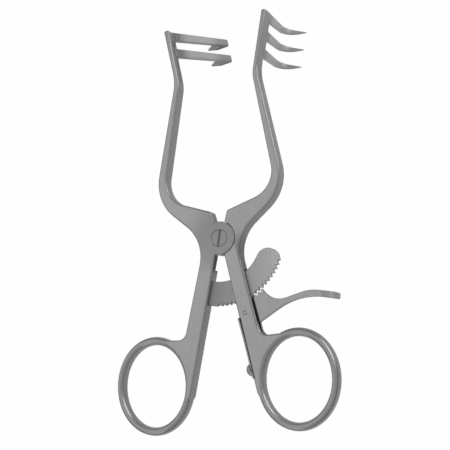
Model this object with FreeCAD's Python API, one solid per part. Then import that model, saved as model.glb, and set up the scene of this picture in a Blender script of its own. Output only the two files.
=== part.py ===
"""Ring-handled self retaining retractor: two arms on a slotted pivot screw, held open by a ratchet.

Frame: the origin is on the pivot axis in the front face of the joint. +Y runs towards the blades,
+X towards the arm that carries the release lever, and +Z out of the front face. The prongs of both
blades point to -Z, into the wound. Squeezing the rings spreads the blades.
"""
import FreeCAD, Part
import math
import os

from FreeCAD import Vector

# Overall plate and joint, millimetres
THICK = 4.6                  # forged plate of both arms, front face to back face
EDGE = 0.65                  # rounding of the plate's edges
BOSS_R = 5.5                 # round half-lap boss of each arm
BOSS_CLEARANCE = 0.15        # round the boss, in the other arm's pocket
LAP_GAP = 0.06               # between the two laps
NOTCH_REACH = 10.3           # relief notch below the left boss, measured from the pivot
NOTCH_DEPTH = 1.4

# Pivot screw
SCREW_HEAD_R = 2.8
SCREW_HEAD_H = 1.15
SCREW_SHANK_R = 1.7
SCREW_RUNNING_FIT = 0.05
SCREW_SINK = 0.05            # head below the front face, end above the back face
SLOT_W = 0.55
SLOT_DEPTH = 0.5
SLOT_TURN = -10.0            # degrees from +Y, clockwise

# Finger rings: an upright ellipse with an oval bar
RING_X, RING_Y = 25.2, -47.1
RING_HALF_W, RING_HALF_H = 11.2, 13.5     # opening
RING_BAR = 2.75                           # width of the bar in the plane of the arms
RING_CROWN_SINK = 0.02                    # crown of the bar below the flat of the shank

# Outline of one arm, as the corners of its straight runs and the radius at each corner
NECK_IN = (1.5, -5.5)
SHOULDER_FOOT = (1.7, 4.6)
SHOULDER = (2.9, 9.1)
SHOULDER_R = 1.0
BELLY_IN, BELLY_IN_R = (20.2, 14.85), 9.0
BELLY_OUT, BELLY_OUT_R = (23.5, 14.6), 14.5
NECK_OUT, NECK_OUT_R = (5.55, -0.55), 13.0
WAIST = (14.25, 54.7)
WAIST_W = 1.8
WAIST_SHEAR = 0.5            # the outer corner of the waist sits this much higher than its middle
WAIST_IN_R, WAIST_OUT_R = 12.0, 16.0
TIP_W = 1.7
TIP_LEAN = 11.0              # degrees that the blade run leans outwards
RIGHT_BLADE, LEFT_BLADE = 21.5, 19.9      # waist to tip
WEB_DROP = 1.9               # the shank's outer corner lies this far below the top of the ring
WEB_FILLET = 3.0

# Prongs, measured from their root behind the plate
PRONG_PITCH = 6.15
PRONG_W_ROOT, PRONG_W_END = 3.3, 2.4
PRONG_T_ROOT, PRONG_T_END = 1.6, 1.3
PRONG_POINT = 0.25
PRONG_EDGE = 0.3
PRONG_INSET = 1.65           # centre of the first prong below the tip of its arm
PRONG_ROOT_DEPTH = 3.0       # the prong starts this far behind the front face
RIGHT_PRONGS, LEFT_PRONGS = 3, 2
RIGHT_DEPTH, LEFT_DEPTH = 19.4, 22.2      # root to the underside of the hook
RIGHT_LEAN_IN, LEFT_LEAN_IN = 0.5, 12.5   # the shaft's end lies this much further inwards than its root
RIGHT_REACH, LEFT_REACH = 8.4, 8.6        # heel of the hook to its point
RIGHT_BEND_R = 4.1           # centre line of the right prongs' bend
LEFT_BARB_T = 2.9            # depth of the left prongs' barb where it leaves the shaft
LEFT_CROOK_R, LEFT_HEEL_R = 0.3, 0.8
HOOK_RISE = 0.5              # the point is this much above the heel
BLADE_WEB_DEPTH = 0.9        # the blade stands this much behind the back face between its prongs
BLADE_WEB_T = 1.2
BLADE_WEB_MARGIN = 1.2       # and runs this much past its last prong

# Ratchet bar
RATCHET_T = 1.8
RATCHET_IN, RATCHET_TIP = 14.3, 22.3
TOOTH_DEPTH = 1.0
TOOTH_PITCH = 4.0            # degrees
FIRST_TIP, LAST_TIP = -5.0, 67.0          # degrees from -Y towards +X
RATCHET_END = 62.4           # centre of the rounded free end, degrees
RATCHET_FOOT, SEAT_END = -60, 20          # the seat cuts the bar well inside this sweep, degrees
RATCHET_SEAT_WALL = 1.1      # left between the seat's floor and the outer face of the left shank

# Slot of the right shank, for the ratchet bar and the lever
SLIDE_GAP = 0.1              # each side of the ratchet and of the lever
SLOT_TOP = 13.3              # from the pivot
SLOT_FLOOR_IN, SLOT_FLOOR_OUT = -31.2, -32.8

# Release lever
LEVER_T = 1.8
PIN = (8.4, -25.2)
PIN_R = 0.7
PIN_RUNNING_FIT = 0.04
LEVER_TEETH = 4
LEVER_FIRST_TOOTH = 26.1     # degrees
LEVER_TIP_GAP = 0.1          # the lever's teeth clear the ratchet's by this much at rest
LEVER_TOOTH_DEPTH = 0.95
NOSE_FALL = (17.46, -22.3)
NOSE_FALL_R = 7.5
LEVER_CREST, LEVER_CREST_R = (30.4, -18.9), 14.0
THUMB_TOP, THUMB_LOW = (39.7, -20.8), (39.3, -22.7)
LEVER_BELLY, LEVER_BELLY_R = (26.4, -20.2), 22.0
LEVER_HEEL = (11.6, -29.0)
TAIL_Y = -29.4
TAIL_REACH = 0.28            # the tail stands out of the slot by this much to meet the spring
LEVER_BACK = (6.9, -25.6)
THUMB_W = 4.4                # width of the thumb pad across the plate
FLARE_START, FLARE_END = 33.8, 37.4
THUMB_CORNER_R = 1.0

# Leaf spring and its screw
SPRING_T = 0.5
SPRING_W = 3.2
SPRING_TOP_Y = -26.6
SPRING_SCREW_RISE = 7.8      # above the point where the shank meets the ring
SPRING_TAIL = 3.0            # below the screw
SPRING_LIFT = 0.3            # the free end stands off the shank by this much
SPRING_HOLE_GAP = 0.05
DOME_R, DOME_H = 2.25, 1.9
SPRING_SCREW_R = 0.8
SPRING_SCREW_LENGTH = 3.0

Z = Vector(0, 0, 1)
MID = -THICK / 2


def turned(point, degrees, centre=(0.0, 0.0)):
    """A point turned about a centre, anticlockwise seen from the front."""
    a = math.radians(degrees)
    dx, dy = point[0] - centre[0], point[1] - centre[1]
    return (centre[0] + dx * math.cos(a) - dy * math.sin(a), centre[1] + dx * math.sin(a) + dy * math.cos(a))


def polar(radius, degrees):
    """A point of the ratchet's polar system: degrees from -Y towards +X."""
    a = math.radians(degrees)
    return (radius * math.sin(a), -radius * math.cos(a))


def ellipse_point(half_w, half_h, degrees):
    a = math.radians(degrees)
    return (RING_X + half_w * math.cos(a), RING_Y + half_h * math.sin(a))


def rounded_face(corners, z=0.0):
    """Face of a closed outline of straight runs, given as (point, radius) corners."""
    count = len(corners)
    edges, last_end, first_start = [], None, None
    for i, (point, radius) in enumerate(corners):
        p = Vector(point[0], point[1], z)
        before = Vector(*corners[i - 1][0], z)
        after = Vector(*corners[(i + 1) % count][0], z)
        to_before, to_after = (before - p).normalize(), (after - p).normalize()
        half = to_before.getAngle(to_after) / 2
        if radius > 0:
            reach = radius / math.tan(half)
            start, end = p + to_before * reach, p + to_after * reach
            inward = (to_before + to_after).normalize()
            middle = p + inward * (radius / math.sin(half) - radius)
            arc = Part.Arc(start, middle, end).toShape()
        else:
            start = end = p
            arc = None
        if last_end is not None:
            edges.append(Part.LineSegment(last_end, start).toShape())
        if arc is not None:
            edges.append(arc)
        last_end = end
        first_start = first_start or start
    edges.append(Part.LineSegment(last_end, first_start).toShape())
    return Part.Face(Part.Wire(edges))


def slab(face, low, high):
    """Prism of a face drawn at z = 0, from low to high."""
    lower = face.copy()
    lower.translate(Vector(0, 0, low))
    return lower.extrude(Vector(0, 0, high - low))


def disc(radius, low, high, centre=(0.0, 0.0)):
    return Part.makeCylinder(radius, high - low, Vector(centre[0], centre[1], low), Z)


def mirrored(shape):
    return shape.mirror(Vector(0, 0, 0), Vector(1, 0, 0))


def one_solid(shape):
    """The single solid of a boolean result, with its split faces joined."""
    clean = shape.removeSplitter()
    if len(clean.Solids) != 1:
        raise ValueError("expected one solid, got %d" % len(clean.Solids))
    return clean.Solids[0]


def ring_tangent_point():
    """Where the straight inner edge of the shank runs on to the outside of the ring."""
    half_w, half_h = RING_HALF_W + RING_BAR, RING_HALF_H + RING_BAR
    px, py = (NECK_IN[0] - RING_X) / half_w, (NECK_IN[1] - RING_Y) / half_h
    turn = math.atan2(py, px) + math.acos(1 / math.hypot(px, py))
    return (RING_X + half_w * math.cos(turn), RING_Y + half_h * math.sin(turn))


def inner_edge_x(y):
    """X of the shank's inner edge at a height."""
    low = ring_tangent_point()
    return NECK_IN[0] + (low[0] - NECK_IN[0]) * (NECK_IN[1] - y) / (NECK_IN[1] - low[1])


def web_corner():
    """Where the shank's outer edge turns into the top of the ring."""
    top = RING_Y + RING_HALF_H + RING_BAR
    return (RING_X - RING_HALF_W - RING_BAR / 2 + 0.9, top - WEB_DROP)


def outer_edge_x(y):
    """X of the shank's outer edge at a height."""
    low = web_corner()
    return NECK_OUT[0] + (low[0] - NECK_OUT[0]) * (NECK_OUT[1] - y) / (NECK_OUT[1] - low[1])


def blade_point(along, outward=0.0):
    """A point of the right blade's run: along it from the waist, and outwards from its centre line."""
    lean = math.radians(TIP_LEAN)
    return (WAIST[0] + along * math.sin(lean) + outward * math.cos(lean),
            WAIST[1] + along * math.cos(lean) - outward * math.sin(lean))


def arm_outline(blade):
    """Plate outline of the right-hand arm, from the blade's tip to the middle of the ring's bar."""
    top = ellipse_point(RING_HALF_W + RING_BAR / 2, RING_HALF_H + RING_BAR / 2, 94)
    inside = ellipse_point(RING_HALF_W * 0.3, RING_HALF_H * 0.7, 90)
    inside_low = ellipse_point(RING_HALF_W * 0.5, RING_HALF_H * 0.7, 235)
    on_bar = ellipse_point(RING_HALF_W + RING_BAR / 2, RING_HALF_H + RING_BAR / 2, 230)
    half = WAIST_W / 2
    return rounded_face([
        (blade_point(blade, -TIP_W / 2), 0.4),
        (blade_point(blade, TIP_W / 2), 0.4),
        ((WAIST[0] + half, WAIST[1] + WAIST_SHEAR), WAIST_OUT_R),
        (BELLY_OUT, BELLY_OUT_R),
        (NECK_OUT, NECK_OUT_R),
        (web_corner(), WEB_FILLET),
        (top, 1.0),
        (inside, 0.5),
        (inside_low, 0.5),
        (on_bar, 1.0),
        (ring_tangent_point(), 2.0),
        ((inner_edge_x(NECK_IN[1] + 1), NECK_IN[1] + 1), 0),
        (SHOULDER_FOOT, 0),
        (SHOULDER, SHOULDER_R),
        (BELLY_IN, BELLY_IN_R),
        ((WAIST[0] - half, WAIST[1] - WAIST_SHEAR), WAIST_IN_R),
    ])


def ellipse_quarters(half_w, half_h, z):
    """Ellipse round the ring's centre as four arcs, so that what is swept along it has no seam."""
    centre = Vector(RING_X, RING_Y, z)
    curve = Part.Ellipse(centre + Vector(0, half_h, 0), centre + Vector(-half_w, 0, 0), centre)
    quarter = math.pi / 2
    return [Part.ArcOfEllipse(curve, i * quarter, (i + 1) * quarter).toShape() for i in range(4)]


def finger_ring():
    """Oval bar swept round the ring's centre line."""
    half_w, half_h = RING_HALF_W + RING_BAR / 2, RING_HALF_H + RING_BAR / 2
    path = Part.Wire(ellipse_quarters(half_w, half_h, MID))
    start = Vector(RING_X, RING_Y + half_h, MID)
    tall = THICK / 2 - RING_CROWN_SINK
    section = Part.Ellipse(start + Vector(0, 0, tall), start + Vector(0, RING_BAR / 2, 0), start)
    halves = [Part.ArcOfEllipse(section, i * math.pi, (i + 1) * math.pi).toShape() for i in range(2)]
    return path.makePipeShell([Part.Wire(halves)], True, True)


def plate(blade):
    """Forged plate with rounded edges, open for the ring and with the ring's bar joined on."""
    body = slab(arm_outline(blade), -THICK, 0)
    rims = [e for e in body.Edges if e.BoundBox.ZLength < 1e-6]
    body = body.makeFillet(EDGE, rims)
    half_w, half_h = RING_HALF_W + RING_BAR / 2, RING_HALF_H + RING_BAR / 2
    hole = Part.Face(Part.Wire(ellipse_quarters(half_w, half_h, 0)))
    body = body.cut(slab(hole, -THICK - 1, 1))
    return body.fuse(finger_ring())


def placed_on_blade(shape, station, inset):
    """Moves a shape drawn with X outwards, Y along the blade and its root at z = 0 to its place."""
    shape.rotate(Vector(0, 0, 0), Z, -TIP_LEAN)
    shape.translate(Vector(*blade_point(station, inset), -PRONG_ROOT_DEPTH))
    return shape


def upright(face):
    """Turns a face drawn in XY so that its Y becomes Z."""
    face.rotate(Vector(0, 0, 0), Vector(1, 0, 0), 90)
    return face


def curved_prong():
    """Prong of the right arm: a straight shaft, a round bend and a hook that thins to a point."""
    lean = math.atan2(RIGHT_LEAN_IN, RIGHT_DEPTH)
    straight = RIGHT_DEPTH - PRONG_T_END / 2 - RIGHT_BEND_R
    end_x, end_z = -straight * math.tan(lean), -straight
    centre_x = end_x + RIGHT_BEND_R * math.cos(lean)
    centre_z = end_z + RIGHT_BEND_R * math.sin(lean)
    hook = RIGHT_REACH - RIGHT_BEND_R - PRONG_T_END / 2
    rise = math.atan2(HOOK_RISE, RIGHT_REACH - RIGHT_BEND_R)
    turn = math.pi / 2 + lean + rise

    def section(x, z, heading, width, thick):
        """Rounded rectangle across the prong; its heading is measured from straight down to outwards."""
        side = Vector(math.cos(heading), 0, math.sin(heading))
        centre, wide = Vector(x, 0, z), Vector(0, 1, 0)
        r = min(width, thick) * 0.3
        w, t, k = width / 2, thick / 2, r * (1 - math.sqrt(0.5))
        spots = [(w - r, t), (w - k, t - k), (w, t - r), (w, r - t), (w - k, k - t), (w - r, -t),
                 (r - w, -t), (k - w, k - t), (-w, r - t), (-w, t - r), (k - w, t - k), (r - w, t)]
        points = [centre + wide * p + side * q for p, q in spots]
        edges = []
        for i in range(0, 12, 3):
            edges.append(Part.Arc(points[i], points[i + 1], points[i + 2]).toShape())
            edges.append(Part.LineSegment(points[i + 2], points[(i + 3) % 12]).toShape())
        return Part.Wire(edges)

    def claw_section(part):
        """Section at a fraction of the way from the start of the bend to the point."""
        bend = turn * RIGHT_BEND_R
        run = part * (bend + hook)
        heading = min(run / RIGHT_BEND_R, turn) - lean
        beyond = max(run - bend, 0)
        x = centre_x - RIGHT_BEND_R * math.cos(heading) + beyond * math.sin(heading)
        z = centre_z - RIGHT_BEND_R * math.sin(heading) - beyond * math.cos(heading)
        width = PRONG_W_END + (PRONG_POINT - PRONG_W_END) * part ** 1.6
        thick = PRONG_T_END + (PRONG_POINT - PRONG_T_END) * part ** 2
        return section(x, z, heading, width, thick)

    shaft = Part.makeLoft([section(0, 0, -lean, PRONG_W_ROOT, PRONG_T_ROOT), claw_section(0)], True, True)
    steps = 9
    claw = Part.makeLoft([claw_section(i / steps) for i in range(steps + 1)], True, False)
    return shaft.fuse(claw)


def barbed_prong():
    """Prong of the left arm: a shaft that slants inwards, and a wedge-shaped barb back from its heel."""
    depth = LEFT_DEPTH
    root, end = PRONG_T_ROOT / 2, PRONG_T_END / 2
    side = end * math.hypot(depth, LEFT_LEAN_IN) / depth
    heel = (-LEFT_LEAN_IN - side, -depth)
    crook = (-LEFT_LEAN_IN * (depth - LEFT_BARB_T) / depth + side, LEFT_BARB_T - depth)
    point_x, point_y = heel[0] + LEFT_REACH, HOOK_RISE - depth
    profile = upright(rounded_face([
        ((-root, 0), 0), (heel, LEFT_HEEL_R), ((point_x, point_y), 0), ((point_x, point_y + PRONG_POINT), 0),
        (crook, LEFT_CROOK_R), ((root, 0), 0)]))
    profile.translate(Vector(0, PRONG_W_ROOT / 2, 0))
    body = profile.extrude(Vector(0, -PRONG_W_ROOT, 0))

    w_root, w_end = PRONG_W_ROOT / 2, PRONG_W_END / 2
    front = upright(rounded_face([((-w_root, 0), 0), ((w_root, 0), 0), ((w_end, -depth), 0), ((-w_end, -depth), 0)]))
    front.rotate(Vector(0, 0, 0), Z, 90)
    front.translate(Vector(heel[0] - 1, 0, 0))
    body = body.common(front.extrude(Vector(LEFT_REACH + LEFT_LEAN_IN + 4, 0, 0)))

    start, half_point = crook[0], PRONG_POINT / 2
    plan = rounded_face([
        ((heel[0] - 1, -w_root), 0), ((start, -w_root), 0), ((point_x, -half_point), 0),
        ((point_x, half_point), 0), ((start, w_root), 0), ((heel[0] - 1, w_root), 0)], -depth)
    along_shaft = Vector(LEFT_LEAN_IN, 0, depth)
    plan.translate(along_shaft * -0.1)
    body = body.common(plan.extrude(along_shaft * 1.2))
    long_edges = [e for e in body.Edges if e.BoundBox.ZLength > depth * 0.6]
    return body.makeFillet(PRONG_EDGE, long_edges)


def blade_web(blade, count, inset):
    """Low wall behind the plate that joins the roots of the prongs."""
    length = PRONG_INSET + (count - 1) * PRONG_PITCH + BLADE_WEB_MARGIN
    depth = THICK - PRONG_ROOT_DEPTH + BLADE_WEB_DEPTH
    wall = Part.makeBox(BLADE_WEB_T, length, depth, Vector(-BLADE_WEB_T / 2, -length, -depth))
    rims = [e for e in wall.Edges if abs(e.CenterOfMass.z + depth) < 1e-6 or e.BoundBox.ZLength > depth / 2]
    return placed_on_blade(wall.makeFillet(0.35, rims), blade, inset)


def blade_side_inset(side):
    """Prong centre from the centre line of the blade, with the prong flush with one side of the plate."""
    return side * (TIP_W - PRONG_T_ROOT) / 2


def tooth_notches():
    """V-shaped spaces between the ratchet's teeth."""
    notches = []
    count = int(round((LAST_TIP - FIRST_TIP) / TOOTH_PITCH)) + 1
    half = TOOTH_PITCH / 2
    over = RATCHET_TIP + TOOTH_DEPTH
    for i in range(count):
        centre = FIRST_TIP + half + i * TOOTH_PITCH
        corners = [(polar(RATCHET_TIP - TOOTH_DEPTH, centre), 0), (polar(over, centre + 2 * half), 0),
                   (polar(over, centre - 2 * half), 0)]
        notches.append(slab(rounded_face(corners), MID - RATCHET_T, MID + RATCHET_T))
    return notches


def ratchet_sector(inner, outer, low, high, start, end):
    """Part of an annulus about the pivot between two polar directions."""
    ring = disc(outer, low, high).cut(disc(inner, low - 1, high + 1))
    far = 3 * outer
    middle = (start + end) / 2
    wedge = rounded_face([((0, 0), 0), (polar(far, start), 0), (polar(far, middle), 0), (polar(far, end), 0)])
    return ring.common(slab(wedge, low, high))


def seat_floor():
    """Everything on the ratchet's side of its seat floor in the left shank."""
    low, high = -40.0, 10.0
    edge = [(-outer_edge_x(low) + RATCHET_SEAT_WALL, low), (-outer_edge_x(high) + RATCHET_SEAT_WALL, high)]
    far = 3 * RATCHET_TIP
    return rounded_face([(edge[0], 0), ((far, low), 0), ((far, high), 0), (edge[1], 0)])


def ratchet_bar():
    low, high = MID - RATCHET_T / 2, MID + RATCHET_T / 2
    body = ratchet_sector(RATCHET_IN, RATCHET_TIP, low, high, RATCHET_FOOT, RATCHET_END)
    end_r = (RATCHET_TIP - RATCHET_IN) / 2
    body = body.fuse(disc(end_r, low, high, polar(RATCHET_IN + end_r, RATCHET_END)))
    body = body.common(slab(seat_floor(), low, high))
    for notch in tooth_notches():
        body = body.cut(notch)
    return one_solid(body)


def ratchet_seat():
    """Pocket of the left shank that the ratchet bar is brazed into."""
    low, high = MID - RATCHET_T / 2, MID + RATCHET_T / 2
    body = ratchet_sector(RATCHET_IN, RATCHET_TIP, low, high, RATCHET_FOOT, SEAT_END)
    return body.common(slab(seat_floor(), low, high))


def left_arm():
    """Arm with the front lap, two prongs and the ratchet's seat, drawn on the right and mirrored."""
    body = plate(LEFT_BLADE)
    inset = blade_side_inset(-1)
    body = body.fuse(blade_web(LEFT_BLADE, LEFT_PRONGS, inset))
    for i in range(LEFT_PRONGS):
        body = body.fuse(placed_on_blade(barbed_prong(), LEFT_BLADE - PRONG_INSET - i * PRONG_PITCH, inset))
    body = body.cut(disc(BOSS_R + BOSS_CLEARANCE, -THICK - 1, MID + LAP_GAP / 2))
    body = body.fuse(disc(BOSS_R, MID + LAP_GAP / 2, 0))
    notch = rounded_face([
        ((inner_edge_x(-3) - 2, -3), 0), ((inner_edge_x(-3) + NOTCH_DEPTH, -3), 0),
        ((inner_edge_x(-NOTCH_REACH) + NOTCH_DEPTH, -NOTCH_REACH), 0.6),
        ((inner_edge_x(-NOTCH_REACH) - 2, -NOTCH_REACH), 0)])
    body = body.cut(slab(notch, -THICK - 1, MID + LAP_GAP / 2))
    body = mirrored(body)
    body = body.cut(ratchet_seat())
    body = body.cut(disc(SCREW_HEAD_R + SCREW_RUNNING_FIT, -SCREW_HEAD_H - SCREW_SINK - SCREW_RUNNING_FIT, 1))
    body = body.cut(disc(SCREW_SHANK_R + SCREW_RUNNING_FIT, -THICK - 1, 1))
    return one_solid(body)


def shank_slot():
    """Through slot of the right shank, from beside the ratchet's bore to the foot of the lever."""
    half = max(RATCHET_T, LEVER_T) / 2 + SLIDE_GAP
    face = rounded_face([((-4, 0), 0), ((-4, SLOT_FLOOR_IN), 0), ((inner_edge_x(SLOT_FLOOR_IN), SLOT_FLOOR_IN), 0),
                         ((outer_edge_x(SLOT_FLOOR_OUT) + 4, SLOT_FLOOR_OUT), 0), ((30, 0), 0)])
    return slab(face, MID - half, MID + half).cut(disc(SLOT_TOP, -THICK, 0))


def spring_frame():
    """Point on the inner edge of the right shank at the spring's screw, its outward normal and its direction up."""
    low = ring_tangent_point()
    up = Vector(NECK_IN[0] - low[0], NECK_IN[1] - low[1], 0).normalize()
    normal = Vector(-up.y, up.x, 0)
    screw_y = low[1] + SPRING_SCREW_RISE
    return Vector(inner_edge_x(screw_y), screw_y, MID), normal, up


def right_arm():
    """Arm with the rear lap, three prongs, and the slot, pin hole and tapped holes."""
    body = plate(RIGHT_BLADE)
    inset = blade_side_inset(1)
    body = body.fuse(blade_web(RIGHT_BLADE, RIGHT_PRONGS, inset))
    for i in range(RIGHT_PRONGS):
        body = body.fuse(placed_on_blade(curved_prong(), RIGHT_BLADE - PRONG_INSET - i * PRONG_PITCH, inset))
    body = body.cut(disc(BOSS_R + BOSS_CLEARANCE, MID - LAP_GAP / 2, 1))
    body = body.fuse(disc(BOSS_R, -THICK, MID - LAP_GAP / 2))
    body = body.cut(disc(SCREW_SHANK_R, -THICK - 1, 1))
    body = body.cut(shank_slot())
    body = body.cut(disc(PIN_R, -THICK - 1, 1, PIN))
    point, normal, up = spring_frame()
    body = body.cut(Part.makeCylinder(SPRING_SCREW_R, SPRING_SCREW_LENGTH, point, normal * -1))
    return one_solid(body)


def pivot_screw():
    """Flush slotted screw: its head bears on the front lap and its shank is tapped into the rear lap."""
    top = -SCREW_SINK
    body = disc(SCREW_SHANK_R, -THICK + SCREW_SINK, top - SCREW_HEAD_H / 2)
    body = body.fuse(disc(SCREW_HEAD_R, top - SCREW_HEAD_H, top))
    slot = Part.makeBox(SLOT_W, 4 * SCREW_HEAD_R, 2 * SLOT_DEPTH,
                        Vector(-SLOT_W / 2, -2 * SCREW_HEAD_R, top - SLOT_DEPTH))
    slot.rotate(Vector(0, 0, 0), Z, SLOT_TURN)
    return one_solid(body.cut(slot))


def lever_tooth_corners():
    """Tips and valleys of the lever's nose, from the shank outwards."""
    tip = RATCHET_TIP + LEVER_TIP_GAP
    valley = tip + LEVER_TOOTH_DEPTH
    corners = [(polar(valley, LEVER_FIRST_TOOTH - TOOTH_PITCH / 2), 0)]
    for i in range(LEVER_TEETH):
        centre = LEVER_FIRST_TOOTH + i * TOOTH_PITCH
        corners.append((polar(tip, centre), 0))
        if i < LEVER_TEETH - 1:
            corners.append((polar(valley, centre + TOOTH_PITCH / 2), 0))
    return corners


def lever_profile():
    """Side view of the lever: toothed nose, swept thumb arm, heel and the tail that meets the spring."""
    tail = (inner_edge_x(TAIL_Y) - TAIL_REACH, TAIL_Y)
    return rounded_face(lever_tooth_corners() + [
        (NOSE_FALL, NOSE_FALL_R),
        (LEVER_CREST, LEVER_CREST_R),
        (THUMB_TOP, 0.4),
        (THUMB_LOW, 0.4),
        (LEVER_BELLY, LEVER_BELLY_R),
        (LEVER_HEEL, 1.2),
        ((tail[0] + 1.4, tail[1] - 1.0), 0.6),
        (tail, 0.4),
        ((LEVER_BACK[0] + 0.2, LEVER_BACK[1] - 1.6), 1.0),
        (LEVER_BACK, 1.5),
    ])


def lever_plan():
    """Front-to-back view of the lever: a thin plate that flares into the thumb pad."""
    half, pad = LEVER_T / 2, THUMB_W / 2
    far = THUMB_TOP[0] + 0.05
    corners = [((0, -half), 0), ((FLARE_START, -half), 2.0), ((FLARE_END, -pad), 1.0), ((far, -pad), THUMB_CORNER_R),
               ((far, pad), THUMB_CORNER_R), ((FLARE_END, pad), 1.0), ((FLARE_START, half), 2.0), ((0, half), 0)]
    face = rounded_face(corners)
    face.rotate(Vector(0, 0, 0), Vector(1, 0, 0), 90)
    face.translate(Vector(0, 0, MID))
    return face.extrude(Vector(0, 2 * LEVER_HEEL[1], 0))


def release_lever():
    body = slab(lever_profile(), -THICK, 0).common(lever_plan())
    body = body.cut(disc(PIN_R + PIN_RUNNING_FIT, -THICK - 1, 1, PIN))
    return one_solid(body)


def lever_pin():
    """Cross pin through both cheeks of the slot, ends flush."""
    return disc(PIN_R, -THICK, 0, PIN)


def leaf_spring():
    """Flat strip that stands off the shank towards its free end, with a hole for its screw."""
    point, normal, up = spring_frame()
    reach = (SPRING_TOP_Y - point.y) / up.y
    flat = 2.0
    tail = point - up * SPRING_TAIL
    knee = point + up * flat
    tip = point + up * reach + normal * SPRING_LIFT
    middle = point + up * ((reach + flat) / 2) + normal * (SPRING_LIFT / 4)

    def lifted(p):
        return p + normal * SPRING_T

    edges = [Part.LineSegment(tail, knee).toShape(), Part.Arc(knee, middle, tip).toShape(),
             Part.LineSegment(tip, lifted(tip)).toShape(),
             Part.Arc(lifted(tip), lifted(middle), lifted(knee)).toShape(),
             Part.LineSegment(lifted(knee), lifted(tail)).toShape(), Part.LineSegment(lifted(tail), tail).toShape()]
    strip = Part.Face(Part.Wire(edges)).extrude(Vector(0, 0, SPRING_W))
    strip.translate(Vector(0, 0, -SPRING_W / 2))
    hole = Part.makeCylinder(SPRING_SCREW_R + SPRING_HOLE_GAP, 4 * SPRING_T, point - normal * SPRING_T, normal)
    return one_solid(strip.cut(hole))


def spring_screw():
    """Round-head screw with a cross slot over the spring's foot."""
    point, normal, up = spring_frame()
    seat = point + normal * SPRING_T
    ball = (DOME_R ** 2 + DOME_H ** 2) / (2 * DOME_H)
    dome = Part.makeSphere(ball, seat + normal * (DOME_H - ball))
    dome = dome.common(Part.makeCylinder(DOME_R, DOME_H, seat, normal))
    shank = Part.makeCylinder(SPRING_SCREW_R, SPRING_SCREW_LENGTH + SPRING_T, seat, normal * -1)
    body = dome.fuse(shank)
    slot = Part.makeBox(SLOT_W, 4 * DOME_R, 2 * SLOT_DEPTH, Vector(-SLOT_W / 2, -2 * DOME_R, 0))
    slot.Placement = FreeCAD.Placement(seat + normal * (DOME_H - SLOT_DEPTH), FreeCAD.Rotation(Z, normal))
    return one_solid(body.cut(slot))


PARTS = {
    "left_arm": left_arm,
    "right_arm": right_arm,
    "ratchet_bar": ratchet_bar,
    "pivot_screw": pivot_screw,
    "release_lever": release_lever,
    "lever_pin": lever_pin,
    "leaf_spring": leaf_spring,
    "spring_screw": spring_screw,
}

os.makedirs("parts", exist_ok=True)
for name, make in PARTS.items():
    make().exportStep("parts/%s.step" % name)
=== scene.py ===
"""Looks of the ring-handled self retaining retractor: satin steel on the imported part, on a white stage."""
import math

import bpy
from mathutils import Matrix, Vector


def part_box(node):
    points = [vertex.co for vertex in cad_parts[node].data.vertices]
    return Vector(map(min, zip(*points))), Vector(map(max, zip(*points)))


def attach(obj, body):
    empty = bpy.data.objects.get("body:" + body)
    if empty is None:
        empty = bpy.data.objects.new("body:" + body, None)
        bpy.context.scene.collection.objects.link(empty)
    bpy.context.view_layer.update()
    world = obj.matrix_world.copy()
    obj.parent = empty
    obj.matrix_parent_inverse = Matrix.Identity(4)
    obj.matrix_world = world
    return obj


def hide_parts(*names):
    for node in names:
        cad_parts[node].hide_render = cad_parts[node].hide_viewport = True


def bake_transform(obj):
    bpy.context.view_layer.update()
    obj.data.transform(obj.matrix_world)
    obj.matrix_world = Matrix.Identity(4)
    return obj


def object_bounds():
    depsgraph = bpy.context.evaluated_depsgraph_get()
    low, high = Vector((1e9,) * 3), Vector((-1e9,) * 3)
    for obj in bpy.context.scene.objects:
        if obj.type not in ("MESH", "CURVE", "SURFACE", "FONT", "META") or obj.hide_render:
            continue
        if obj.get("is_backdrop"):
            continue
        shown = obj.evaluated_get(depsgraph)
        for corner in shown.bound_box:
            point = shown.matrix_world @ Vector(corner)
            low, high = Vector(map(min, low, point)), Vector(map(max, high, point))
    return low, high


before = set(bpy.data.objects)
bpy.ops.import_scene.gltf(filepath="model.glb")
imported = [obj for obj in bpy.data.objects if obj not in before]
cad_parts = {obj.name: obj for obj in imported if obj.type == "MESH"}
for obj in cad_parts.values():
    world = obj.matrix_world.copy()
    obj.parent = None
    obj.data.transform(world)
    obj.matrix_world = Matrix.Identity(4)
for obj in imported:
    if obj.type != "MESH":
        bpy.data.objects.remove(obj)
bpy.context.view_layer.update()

bl_info = {
    "name": "Self retaining retractor",
    "version": (1, 0, 0),
    "blender": (4, 5, 0),
    "location": "View3D > Sidebar > Retractor",
    "description": "Satin steel looks, sprung leaf and photographic stage of a self retaining retractor",
    "category": "Object",
}

# Steel
CLOUD_SCALE, CLOUD_DETAIL = 45.0, 3.0     # slow changes of the finish, per metre
CLOUD_TONE, CLOUD_ROUGH = 0.02, 0.03
GRAIN_DETAIL, GRAIN_TONE = 2.0, 0.01
GRAIN_DEPTH = 0.00002
LAY_SCALE, LAY_DETAIL = 0.5, 1.0          # the brushed lay, as a share of the grain's scale
LAY_STRETCH = (1.0, 0.12, 1.0)            # drawn out along the arms
LAY_ROUGH, LAY_HEIGHT = 0.03, 0.5
BEVEL_SAMPLES = 4
WEAR_HIGHLIGHT_TURN = 0.25             # an edge is painted pale where its rounding turns it by this much, as 1 - cosine: wear and a painted highlight
WELD = 0.000002              # corners of a mesh that lie nearer than this become one

# Prongs: painted light makes them paler than the forging, more so towards the right blade, and painted shade
# darkens their hooks
PRONG_START, PRONG_FULL = -0.0048, -0.0090    # heights behind the front face
HOOK_START, HOOK_FULL = -0.0170, -0.0215
PRONG_LIGHT_DRIFT = 3.5            # rise of the prongs' painted light per metre towards the right blade
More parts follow.
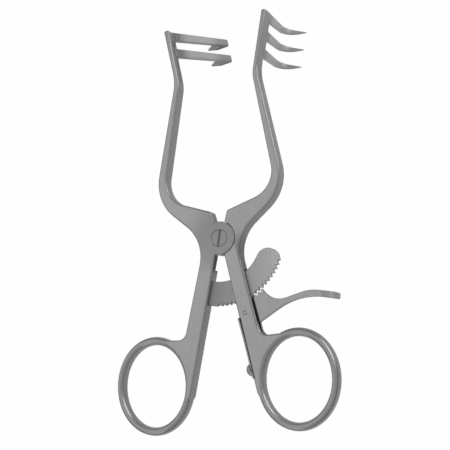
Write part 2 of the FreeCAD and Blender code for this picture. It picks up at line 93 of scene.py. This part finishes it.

# Dark marks, painted where the photograph has shadow: each pair is where a mark starts and where it is full
BOSS_R = 0.0055              # round boss of the half-lap joint, about the origin
DARKER_R, BOSS_SHADE = 0.015, 0.26        # the darker place round the joint, and how dark it is
SEAM_HALF, SEAM_CORE = 0.00013, 0.5       # half width of the painted shade line in a running gap, and its full part
SEAM_START, SEAM_FULL = 0.0008, 0.0016    # the right arm's pocket begins this far to the right of the axis
SPRING_STANDOFF = 0.0008     # the free end's outer side from the shank: the strip and its lift
SHADE_WIDTH, SHADE_CORE = 0.00080, 0.6    # painted shade in the groove beside the spring and on the line at the slot, and their full part
SHANK_TOP = (0.00555, -0.00055)           # the right shank's outer edge, from the joint
SHANK_LOW = (0.013525, -0.03275)          # to the ring
EDGE_BAND = (-0.0008, -0.0004)            # painted shade on the edge of the right shank, from its outer edge
EDGE_TOP, EDGE_FOOT, EDGE_SHADE = (0.003, -0.003), (-0.032, -0.029), 0.40
LAP_DEPTH = (-0.0002, -0.0005)            # painted shade on the inner side of the left shank, behind the front face
LAP_TOP, LAP_LOW = (-0.0050, -0.0060), (-0.0120, -0.0095)
LAP_INNER, LAP_DARK = (-0.0070, -0.0060), 0.75

# Stage
WHITE = (1.0, 1.0, 1.0, 1.0)
PAPER = (0.9, 0.9, 0.9, 1.0)
FLOOR_FADE = 2               # the lit floor has turned dim at this many of its radii
HIGH_LIGHT = 0.4             # sine of the height from which the room's light is full
LIGHTS = {                   # place, side and power
    "front_softbox": ((-0.35, 0.12, 0.60), 0.55, 0.30),
    "edge_strip": ((0.47, 0.37, 0.20), 0.42, 0.80),
    "left_strip": ((-0.70, 0.05, 0.10), 0.30, 0.12),
    "low_fill": ((-0.25, -0.55, 0.15), 0.40, 0.25),
}
CAMERA_PLACE = (0.1600, -0.0666, 0.3605)
CAMERA_BACK, CAMERA_RIGHT = (0.39452, -0.17683, 0.90172), (0.91385, -0.02712, -0.40514)
CAMERA_CLIP = (0.01, 10.0)
SENSOR = 36.0                # width in millimetres


class Value:
    """A shader socket that takes part in sums and products like a number."""

    def __init__(self, shading, socket):
        self.shading, self.socket = shading, socket

    def _math(self, operation, *terms):
        return self.shading.node("Math", {"operation": operation}, dict(enumerate(terms)))

    def __add__(self, other):
        return self._math("ADD", self, other)

    def __sub__(self, other):
        return self._math("SUBTRACT", self, other)

    def __rsub__(self, other):
        return self._math("SUBTRACT", other, self)

    def __mul__(self, other):
        return self._math("MULTIPLY", self, other)

    def root(self):
        return self._math("SQRT", self)

    def size(self):
        return self._math("ABSOLUTE", self)

    def step(self, low, high):
        """Rises smoothly from 0 at low to 1 at high, and falls where low is above high."""
        return self.shading.node("MapRange", {"interpolation_type": "SMOOTHSTEP"},
                                 {"Value": self, "From Min": low, "From Max": high}, "Result")

    def spread(self, reach):
        """Takes 0.35..0.65, where noise mostly lies, to -reach..reach."""
        return self.shading.node("MapRange", {}, {"Value": self, "From Min": 0.35, "From Max": 0.65,
                                                  "To Min": -reach, "To Max": reach}, "Result")


class Shading:
    """The node tree of one material or world."""

    def __init__(self, owner):
        owner.use_nodes = True
        self.tree = owner.node_tree
        self.tree.nodes.clear()

    def node(self, kind, settings, inputs, output=0):
        """Adds a node of a type, with its settings and then the values or links of its sockets."""
        made = self.tree.nodes.new("ShaderNode" + kind)
        for key, setting in settings.items():
            setattr(made, key, setting)
        for key, term in inputs.items():
            if isinstance(term, Value):
                self.tree.links.new(term.socket, made.inputs[key])
            else:
                made.inputs[key].default_value = term
        return Value(self, made.outputs[output]) if made.outputs else None

    def place(self):
        """X, Y and Z of the shaded point in the part's own frame, in metres."""
        split = self.node("SeparateXYZ", {}, {"Vector": self.node("TexCoord", {}, {}, "Object")})
        return [Value(self, entry) for entry in split.socket.node.outputs]

    def noise(self, scale, detail, stretch=(1.0, 1.0, 1.0)):
        """Noise over the part's own frame, with its scale per metre."""
        spot = self.node("Mapping", {}, {"Vector": self.node("TexCoord", {}, {}, "Object"), "Scale": stretch})
        return self.node("TexNoise", {}, {"Vector": spot, "Scale": scale, "Detail": detail}, "Fac")


def beside_line(x, y, start, end):
    """Signed distance of a point from a line through two places, positive on its right-hand side."""
    run = Vector(end) - Vector(start)
    across = Vector((run.y, -run.x)).normalized()
    return x * across.x + y * across.y - across.dot(Vector(start))


def boss_gap_shade(x, y, z):
    """Painted shade: a dark line in the running gap round the boss, on the side where it lies in the right
    arm's pocket.
    """
    line = ((x * x + y * y).root() - BOSS_R).size().step(SEAM_HALF, SEAM_HALF * SEAM_CORE)
    return line * x.step(SEAM_START, SEAM_FULL)


def boss_face(x, y, z):
    """The boss, the screw in it and the arm beside them are a little darker than the rest, most towards the
    joint's axis.
    """
    return (x * x + y * y).root().step(DARKER_R, BOSS_R) * BOSS_SHADE


def spring_groove_shade(x, y, z):
    """Painted shade in the groove on the shank's edge beside the leaf spring."""
    low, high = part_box("leaf_spring")
    inwards = beside_line(x, y, (high[0], low[1]), (low[0] + SPRING_STANDOFF, high[1]))
    beside = inwards.step(SHADE_WIDTH, SHADE_WIDTH * SHADE_CORE)
    return beside * y.step(low[1], low[1] + SEAM_HALF) * y.step(high[1] + SEAM_HALF, high[1])


def lap_shade(x, y, z):
    """Painted shade on the inner side of the left shank in the narrow corner below the boss."""
    return z.step(*LAP_DEPTH) * y.step(*LAP_TOP) * y.step(*LAP_LOW) * x.step(*LAP_INNER) * LAP_DARK


def shank_edge_shade(x, y, z):
    """Painted shade on the outer edge of the right shank beside the slot."""
    outwards = beside_line(x, y, SHANK_LOW, SHANK_TOP)
    return outwards.step(*EDGE_BAND) * y.step(*EDGE_TOP) * y.step(*EDGE_FOOT) * EDGE_SHADE


def slot_shade(x, y, z):
    """Painted shade: a dark line on the lever where it comes out of the shank's slot."""
    return beside_line(x, y, SHANK_LOW, SHANK_TOP).step(SHADE_WIDTH, SHADE_WIDTH * SHADE_CORE)


# dark marks of each node: painted shade in gaps, grooves and corners, and the darker place round the joint
MARKS = {
    "left_arm": (boss_gap_shade, boss_face, lap_shade),
    "pivot_screw": (boss_face,),
    "right_arm": (boss_gap_shade, spring_groove_shade, shank_edge_shade),
    "release_lever": (slot_shade,),
}


def pin_dome(shading, look, x, y, edge):
    """Normals of the cross pin's peened end, which falls from its middle to its rim by the dome's height."""
    low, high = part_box("lever_pin")
    dx, dy = x - (low[0] + high[0]) / 2, y - (low[1] + high[1]) / 2
    radius = (high[0] - low[0]) / 2
    fall = (dx * dx + dy * dy) * (-1 / radius ** 2)
    return shading.node("Bump", {}, {"Height": fall, "Distance": look.dome, "Strength": 1.0, "Normal": edge})


def steel(name, look, marks):
    """Steel of one finish: cloudy tone, fine grain, rounded edges painted pale as wear and painted highlight,
    painted light on the prongs and painted shade on their hooks, and a node's dark marks, mostly painted
    shade.
    """
    material = bpy.data.materials.new(name)
    shading = Shading(material)
    x, y, z = shading.place()
    cloud = shading.noise(CLOUD_SCALE, CLOUD_DETAIL)
    grain = shading.noise(look.grain_scale, GRAIN_DETAIL)
    lay = shading.noise(look.grain_scale * LAY_SCALE, LAY_DETAIL, LAY_STRETCH)
    prong = z.step(PRONG_START, PRONG_FULL)
    hook = z.step(HOOK_START, HOOK_FULL)

    edge = shading.node("Bevel", {"samples": BEVEL_SAMPLES}, {"Radius": look.edge_radius})
    flat = shading.node("NewGeometry", {}, {}, "Normal")
    turned = 1 - shading.node("VectorMath", {"operation": "DOT_PRODUCT"}, {0: edge, 1: flat}, "Value")
    edge_wear_and_highlight = turned.step(0.0, WEAR_HIGHLIGHT_TURN)

    # the rise along x is painted shade: darker towards the left, where the ratchet bar lies between the
    # shanks
    tone = cloud.spread(CLOUD_TONE) + grain.spread(GRAIN_TONE) + x * look.shade_drift + look.tone
    # painted light on the prongs and painted shade on their hooks
    tone = tone + prong * (x * PRONG_LIGHT_DRIFT + look.prong_light) - hook * look.hook_shade
    # the dark marks, mostly painted shade
    for mark in marks:
        tone = tone * (1 - mark(x, y, z) * look.dark_mark_depth)
    # edges painted pale: wear and painted highlight
    tone = tone + edge_wear_and_highlight * look.wear_and_highlight
    colour = shading.node("CombineColor", {}, {
        channel: tone * tint for channel, tint in zip(("Red", "Green", "Blue"), look.tint)})

    roughness = cloud.spread(CLOUD_ROUGH) + lay.spread(LAY_ROUGH) + prong * look.prong_blast
    roughness = roughness - edge_wear_and_highlight * look.wear_polish + look.roughness
    if look.dome > 0:
        edge = pin_dome(shading, look, x, y, edge)
    normal = shading.node("Bump", {}, {"Height": grain + lay * LAY_HEIGHT, "Distance": GRAIN_DEPTH,
                                       "Strength": look.grain_strength, "Normal": edge})
    shader = shading.node("BsdfPrincipled", {}, {
        "Base Color": colour, "Metallic": 1.0, "Roughness": roughness, "Normal": normal})
    shading.node("OutputMaterial", {}, {"Surface": shader})
    return material


def smooth_copy(node, material, angle):
    """Copy of a CAD node with shared corners and smooth curves, which stands for the node."""
    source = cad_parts[node]
    mesh = source.data.copy()
    piece = bpy.data.objects.new(node + "_look", mesh)
    bpy.context.scene.collection.objects.link(piece)
    mesh.materials.clear()
    mesh.materials.append(material)
    for face in mesh.polygons:
        face.material_index = 0
    if mesh.has_custom_normals:
        bpy.context.view_layer.objects.active = piece
        with bpy.context.temp_override(object=piece, active_object=piece, selected_objects=[piece]):
            bpy.ops.mesh.customdata_custom_splitnormals_clear()
    weld = piece.modifiers.new("Weld", "WELD")
    weld.merge_threshold = WELD
    bpy.context.view_layer.update()
    merged = bpy.data.meshes.new_from_object(piece.evaluated_get(bpy.context.evaluated_depsgraph_get()))
    piece.modifiers.clear()
    piece.data = merged
    merged.shade_smooth()
    merged.set_sharp_from_angle(angle=angle)
    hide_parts(node)
    return piece


class RETRACTOR_PG_steel(bpy.types.PropertyGroup):
    tone: bpy.props.FloatProperty(
        name="Tone", description="Linear grey of the steel", default=0.42, min=0.0, max=1.0)
    tint: bpy.props.FloatVectorProperty(
        name="Tint", description="Colour that the grey is multiplied by", size=3, default=(1.0, 1.0, 1.0),
        subtype="COLOR")
    # painted shade: the tone rises towards the lever's side, darker where the ratchet bar lies between the
    # shanks
    shade_drift: bpy.props.FloatProperty(
        name="Drift", description="Rise of the tone per metre towards the lever's side", default=0.0)
    # painted light on the prongs and painted shade on their hooks
    prong_light: bpy.props.FloatProperty(
        name="Prong lift", description="How much paler the prongs are than the forging", default=0.0)
    hook_shade: bpy.props.FloatProperty(
        name="Hook shade", description="How much darker the prongs' hooks are than their shafts", default=0.0)
    # wear and painted highlight: how much paler the rounded edges are painted
    wear_and_highlight: bpy.props.FloatProperty(
        name="Wear", description="How much paler the worn edges are", default=0.12)
    wear_polish: bpy.props.FloatProperty(
        name="Worn polish", description="How much smoother the worn edges are", default=0.08)
    prong_blast: bpy.props.FloatProperty(
        name="Prong roughness", description="How much rougher the prongs are than the forging", default=0.0)
    # strength of the dark marks, mostly painted shade
    dark_mark_depth: bpy.props.FloatProperty(
        name="Seam depth", description="How strongly the dark marks show", default=0.9, min=0.0, max=1.0,
        subtype="FACTOR")
    roughness: bpy.props.FloatProperty(
        name="Roughness", description="Mean roughness of the finish", default=0.28, min=0.0, max=1.0)
    grain_scale: bpy.props.FloatProperty(
        name="Grain", description="Grains of the finish per metre", default=2600.0, min=0.0)
    grain_strength: bpy.props.FloatProperty(
        name="Grain strength", description="How much the grain tilts the surface", default=0.14,
        min=0.0, max=1.0)
    edge_radius: bpy.props.FloatProperty(
        name="Edge rounding", description="Rounding of the broken edges", default=0.0005, subtype="DISTANCE",
        unit="LENGTH")
    dome: bpy.props.FloatProperty(
        name="Peened dome", description="Height of the pin's rounded end", default=0.0, subtype="DISTANCE",
        unit="LENGTH")


class RETRACTOR_PG_form(bpy.types.PropertyGroup):
    smooth_angle: bpy.props.FloatProperty(
        name="Smooth angle", description="Edges that turn by more than this stay sharp",
        default=math.radians(32), subtype="ANGLE", unit="ROTATION")
    spring_bend_start: bpy.props.FloatProperty(
        name="Spring bends from", description="Height on the part where the leaf spring starts to bend",
        default=-0.0380, subtype="DISTANCE", unit="LENGTH")
    spring_bend_end: bpy.props.FloatProperty(
        name="Spring bends to", description="Height on the part where the lever's tail meets the leaf spring",
        default=-0.0294, subtype="DISTANCE", unit="LENGTH")


class RETRACTOR_PG_stage(bpy.types.PropertyGroup):
    floor_gap: bpy.props.FloatProperty(
        name="Floor gap", description="Floor below the lowest point", default=0.0002, subtype="DISTANCE",
        unit="LENGTH")
    floor_size: bpy.props.FloatProperty(
        name="Floor size", description="Side of the square floor", default=3.0, subtype="DISTANCE",
        unit="LENGTH")
    floor_white: bpy.props.FloatProperty(
        name="Floor white", description="Share of plain white in the floor that the camera sees",
        default=0.985, min=0.0, max=1.0, subtype="FACTOR")
    near_radius: bpy.props.FloatProperty(
        name="Lit floor", description="Radius of the floor that the steel mirrors as lit", default=0.10,
        subtype="DISTANCE", unit="LENGTH")
    near_mirrored: bpy.props.FloatProperty(
        name="Near floor", description="Paper white of the lit floor as mirrored in the steel",
        default=0.93, min=0.0)
    far_mirrored: bpy.props.FloatProperty(
        name="Far floor", description="Brightness of the far floor mirrored in the steel",
        default=0.10, min=0.0)
    room: bpy.props.FloatProperty(
        name="Room light", description="Strength of the light from high up all round", default=0.50, min=0.0)
    horizon: bpy.props.FloatProperty(
        name="Level light", description="Strength of the light from all round at the part's own height",
        default=0.28, min=0.0)
    lens: bpy.props.FloatProperty(
        name="Lens", description="Focal length of the camera in millimetres", default=97.5, min=1.0)


def shared_material(node, kind):
    """The steel of that kind with the node's own marks, made on first use."""
    marks = MARKS.get(node, ())
    name = "_".join([kind, "steel"] + ([node] if marks else []))
    if name not in bpy.data.materials:
        steel(name, getattr(bpy.context.scene, "retractor_" + kind), marks)
    return bpy.data.materials[name]


SLOTS = {
    "satin": "satin_steel", "blasted": "ratchet_steel", "spring": "spring_steel",
    "peened": "satin_steel", "rubbed": "satin_steel",
}


def dress(node, kind, body):
    """Gives one CAD node its look and its material slot, and its body where it has one."""
    piece = smooth_copy(node, shared_material(node, kind), bpy.context.scene.retractor_form.smooth_angle)
    if body:
        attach(piece, body)
    return piece


class RETRACTOR_OT_arms(bpy.types.Operator):
    """Satin finish on both arms"""
    bl_idname = "retractor.arms"
    bl_label = "Arms"

    def execute(self, context):
        dress("left_arm", "satin", "left_half")
        dress("right_arm", "satin", "right_half")
        return {"FINISHED"}


class RETRACTOR_OT_ratchet(bpy.types.Operator):
    """Blasted finish on the ratchet bar"""
    bl_idname = "retractor.ratchet"
    bl_label = "Ratchet bar"

    def execute(self, context):
        dress("ratchet_bar", "blasted", "left_half")
        return {"FINISHED"}


class RETRACTOR_OT_lever(bpy.types.Operator):
    """Rubbed finish on the release lever, with its edges painted pale as wear and painted highlight"""
    bl_idname = "retractor.lever"
    bl_label = "Release lever"

    def execute(self, context):
        dress("release_lever", "rubbed", "lever")
        return {"FINISHED"}


class RETRACTOR_OT_fasteners(bpy.types.Operator):
    """Finish on the pivot screw, the peened cross pin and the spring's screw"""
    bl_idname = "retractor.fasteners"
    bl_label = "Screws and pin"

    def execute(self, context):
        dress("pivot_screw", "satin", "right_half")
        dress("lever_pin", "peened", "right_half")
        dress("spring_screw", "spring", "right_half")
        return {"FINISHED"}


class RETRACTOR_OT_spring(bpy.types.Operator):
    """Leaf spring, from its clamped foot to the lever's tail, with its place baked into its mesh"""
    bl_idname = "retractor.spring"
    bl_label = "Leaf spring"

    def execute(self, context):
        piece = dress("leaf_spring", "spring", None)
        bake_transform(piece)
        return {"FINISHED"}


def soft_light(name, place, side, power):
    """Square light at a place, turned towards the joint."""
    light = bpy.data.lights.new(name, "AREA")
    light.shape = "RECTANGLE"
    light.size = light.size_y = side
    light.energy = power
    lamp = bpy.data.objects.new(name, light)
    lamp.location = place
    lamp.rotation_euler = (-Vector(place)).to_track_quat("-Z", "Y").to_euler()
    bpy.context.scene.collection.objects.link(lamp)


class RETRACTOR_OT_stage(bpy.types.Operator):
    """White floor, soft lights, world and the photograph's camera"""
    bl_idname = "retractor.stage"
    bl_label = "Stage"

    def execute(self, context):
        look = context.scene.retractor_stage
        self.add_floor(look)
        self.add_world(look)
        for name, (place, side, power) in LIGHTS.items():
            soft_light(name, place, side, power)
        self.add_camera(look)
        context.scene.view_settings.view_transform = "Standard"
        return {"FINISHED"}

    def add_floor(self, look):
        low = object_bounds()[0]
        mesh = bpy.data.meshes.new("floor")
        half, height = look.floor_size / 2, low[2] - look.floor_gap
        corners = [(-half, -half, height), (half, -half, height), (half, half, height), (-half, half, height)]
        mesh.from_pydata(corners, [], [(0, 1, 2, 3)])
        mesh.materials.append(self.floor_material(look))
        floor = bpy.data.objects.new("floor", mesh)
        bpy.context.scene.collection.objects.link(floor)
        floor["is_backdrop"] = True

    def floor_material(self, look):
        """Near-white to the camera; mirrored in the steel it is lit beside the part and dim far away."""
        material = bpy.data.materials.new("floor_white")
        shading = Shading(material)
        x, y, _ = shading.place()
        paper = shading.node("BsdfDiffuse", {}, {"Color": PAPER})
        lit = shading.node("BsdfDiffuse", {}, {"Color": (look.near_mirrored,) * 3 + (1.0,)})
        plain = shading.node("Emission", {}, {"Color": WHITE})
        dim = shading.node("Emission", {}, {"Color": WHITE, "Strength": look.far_mirrored})
        seen = shading.node("LightPath", {}, {}, "Is Camera Ray")
        mirrored = shading.node("LightPath", {}, {}, "Is Glossy Ray")
        far = (x * x + y * y).root().step(look.near_radius, look.near_radius * FLOOR_FADE)
        to_camera = shading.node("MixShader", {}, {0: seen * look.floor_white, 1: paper, 2: plain})
        to_steel = shading.node("MixShader", {}, {0: far, 1: lit, 2: dim})
        both = shading.node("MixShader", {}, {0: mirrored, 1: to_camera, 2: to_steel})
        shading.node("OutputMaterial", {}, {"Surface": both})
        return material

    def add_world(self, look):
        """White to the camera; as light it is dimmer at the part's own height than high up."""
        world = bpy.data.worlds.new("studio")
        bpy.context.scene.world = world
        shading = Shading(world)
        height = shading.place()[2]
        seen = shading.node("Background", {}, {"Color": WHITE})
        overhead = shading.node("Background", {}, {"Color": WHITE, "Strength": look.room})
        level = shading.node("Background", {}, {"Color": WHITE, "Strength": look.horizon})
        room = shading.node("MixShader", {}, {0: height.step(0.0, HIGH_LIGHT), 1: level, 2: overhead})
        mix = shading.node("MixShader", {}, {
            0: shading.node("LightPath", {}, {}, "Is Camera Ray"), 1: room, 2: seen})
        shading.node("OutputWorld", {}, {"Surface": mix})

    def add_camera(self, look):
        """Camera in front of the part, below and to the right of it, as in the photograph."""
        back, right = Vector(CAMERA_BACK), Vector(CAMERA_RIGHT)
        turn = Matrix((right, back.cross(right), back)).transposed().to_4x4()
        lens = bpy.data.cameras.new("photo_camera")
        lens.lens, lens.sensor_width = look.lens, SENSOR
        lens.clip_start, lens.clip_end = CAMERA_CLIP
        camera = bpy.data.objects.new("photo_camera", lens)
        camera.matrix_world = Matrix.Translation(CAMERA_PLACE) @ turn
        bpy.context.scene.collection.objects.link(camera)
        bpy.context.scene.camera = camera


class RETRACTOR_PT_panel(bpy.types.Panel):
    """Settings and steps of the retractor"""
    bl_idname = "RETRACTOR_PT_panel"
    bl_label = "Retractor"
    bl_space_type = "VIEW_3D"
    bl_region_type = "UI"
    bl_category = "Retractor"

    def draw(self, context):
        for name, group in GROUPS.items():
            box = self.layout.box()
            box.label(text=name.capitalize())
            settings = getattr(context.scene, "retractor_" + name)
            for key in group.__annotations__:
                box.prop(settings, key)
        for operator in OPERATORS:
            self.layout.operator(operator.bl_idname)


OPERATORS = (RETRACTOR_OT_arms, RETRACTOR_OT_ratchet, RETRACTOR_OT_lever, RETRACTOR_OT_fasteners,
             RETRACTOR_OT_spring, RETRACTOR_OT_stage)
GROUPS = dict.fromkeys(SLOTS, RETRACTOR_PG_steel)
GROUPS.update(form=RETRACTOR_PG_form, stage=RETRACTOR_PG_stage)
CLASSES = (RETRACTOR_PG_steel, RETRACTOR_PG_form, RETRACTOR_PG_stage) + OPERATORS + (RETRACTOR_PT_panel,)


def register():
    for cls in CLASSES:
        bpy.utils.register_class(cls)
    for name, group in GROUPS.items():
        setattr(bpy.types.Scene, "retractor_" + name, bpy.props.PointerProperty(type=group))


def unregister():
    for name in GROUPS:
        delattr(bpy.types.Scene, "retractor_" + name)
    for cls in reversed(CLASSES):
        bpy.utils.unregister_class(cls)


def choose_finishes(scene):
    """Where the finishes differ from the defaults."""
    satin, blasted = scene.retractor_satin, scene.retractor_blasted
    # painted light on the prongs and painted shade on their hooks; the roughness is the prongs' own
    satin.prong_light, satin.prong_blast, satin.hook_shade = 0.17, 0.22, 0.17
    # the ratchet bar's painted shade: darker between the shanks, paler towards its free end
    blasted.tone, blasted.shade_drift = 0.38, 11.0
    blasted.roughness, blasted.grain_strength = 0.5, 0.4
    # the lever's edges painted paler: wear and painted highlight
    scene.retractor_rubbed.wear_and_highlight = 0.30
    scene.retractor_peened.dome = 0.00015
    scene.retractor_spring.roughness = 0.30


def main():
    register()
    choose_finishes(bpy.context.scene)
    for name in ("arms", "ratchet", "lever", "fasteners", "spring", "stage"):
        if getattr(bpy.ops.retractor, name)() != {"FINISHED"}:
            raise RuntimeError("retractor.%s didn't finish" % name)


if __name__ == "__main__":
    main()
